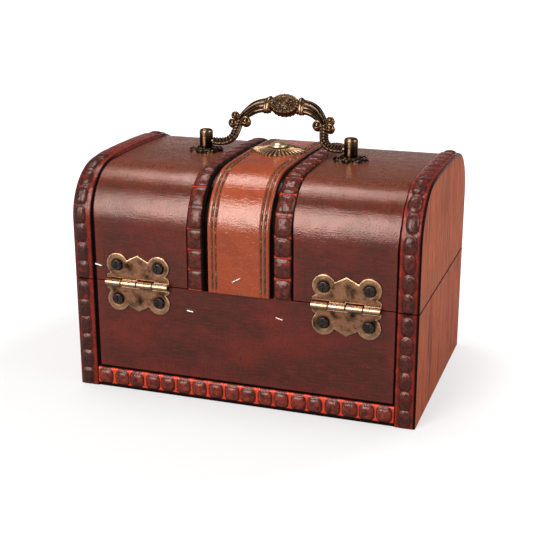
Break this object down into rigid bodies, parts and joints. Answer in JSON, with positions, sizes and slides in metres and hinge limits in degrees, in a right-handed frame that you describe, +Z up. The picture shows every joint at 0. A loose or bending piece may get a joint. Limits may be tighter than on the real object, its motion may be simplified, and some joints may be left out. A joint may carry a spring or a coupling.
{
  "type": "hinged keepsake chest",
  "caption": "Small wooden treasure chest with an arched hinged lid, beaded trims, a leather strap, butterfly hinges, a swinging cast bail handle and a front hasp.",
  "frame": {"origin": "centre of the base's footprint (over the end boards and the front and back boards), on the surface that the chest stands on", "axes": "+X along the width, to the right of someone who faces the front; -Y towards the front and its latch, +Y towards the back and its hinges; +Z up"},
  "size_m": [0.16, 0.1229, 0.131],
  "materials": {
    "plum_board": "thin board wrapped in dark plum leather-grain paper, satin, worn redder along the edges",
    "bare_floor": "bare board, matt",
    "painted_end_board": "orange-brown painted wood with soft upright streaks, satin",
    "flock_lining": "dark red flocked card, matt",
    "beaded_trim": "pressed beading, dark brown beads on a red-orange ground, satin varnish",
    "strap_trim": "pressed beading, near-black brown with red-orange grooves, glossy varnish",
    "strap_leather": "tan-orange leather with fine creases and dark stitching, satin",
    "antique_brass": "antiqued brass plate with dark blotches and bright edges",
    "bright_brass": "polished pale brass",
    "rosette_brass": "pressed olive brass with bright rays",
    "blackened_steel": "blackened steel, semi-matt",
    "staple_steel": "plain steel wire, slightly dulled",
    "dark_bronze": "cast metal with a dark bronze finish, rubbed to copper on the high places"
  },
  "bodies": {
    "base": {"base_floor": "bare_floor", "base_back_board": "plum_board", "base_front_board": "plum_board", "base_left_end_board": "painted_end_board", "base_right_end_board": "painted_end_board", "base_lining": "flock_lining", "base_back_left_trim": "beaded_trim", "base_back_right_trim": "beaded_trim", "base_front_left_trim": "beaded_trim", "base_front_right_trim": "beaded_trim", "base_back_foot_trim": "beaded_trim", "base_front_foot_trim": "beaded_trim", "base_front_strap": "strap_leather", "base_strap_left_trim": "strap_trim", "base_strap_right_trim": "strap_trim", "base_back_staples": "staple_steel", "left_hinge_base_leaf": "antique_brass", "right_hinge_base_leaf": "antique_brass", "left_hinge_pin": "bright_brass", "right_hinge_pin": "bright_brass", "hinge_base_screws": "blackened_steel", "latch_keeper_plate": "antique_brass", "latch_keeper_nails": "bright_brass", "latch_staple": "bright_brass"},
    "lid": {"lid_shell": "plum_board", "lid_left_end_board": "painted_end_board", "lid_right_end_board": "painted_end_board", "lid_lining": "flock_lining", "lid_left_end_trim": "beaded_trim", "lid_right_end_trim": "beaded_trim", "lid_strap": "strap_leather", "lid_strap_left_trim": "strap_trim", "lid_strap_right_trim": "strap_trim", "strap_rosette": "rosette_brass", "strap_rosette_nail": "bright_brass", "left_handle_plate": "dark_bronze", "right_handle_plate": "dark_bronze", "left_handle_post": "dark_bronze", "right_handle_post": "dark_bronze", "handle_washers": "staple_steel", "handle_nuts": "staple_steel", "left_hinge_lid_leaf": "antique_brass", "right_hinge_lid_leaf": "antique_brass", "hinge_lid_screws": "blackened_steel", "lid_back_staple": "staple_steel", "strap_staple": "staple_steel", "latch_lid_plate": "antique_brass", "latch_pin": "bright_brass", "latch_lid_nails": "bright_brass"},
    "bail": {"handle_bail": "dark_bronze"},
    "hasp": {"latch_hasp": "antique_brass"}
  },
  "joints": [
    {"name": "lid_hinge", "type": "hinge", "parent": "base", "child": "lid", "pos_m": [0, 0.0541, 0.0525], "axis": [-1, 0, 0], "range_deg": [0, 105]},
    {"name": "bail_swing", "type": "hinge", "parent": "lid", "child": "bail", "pos_m": [0, 0, 0.1091], "axis": [1, 0, 0], "range_deg": [-118, 46]},
    {"name": "hasp_swing", "type": "hinge", "parent": "lid", "child": "hasp", "pos_m": [0, -0.0557, 0.0605], "axis": [1, 0, 0], "range_deg": [-140, 27]}
  ]
}
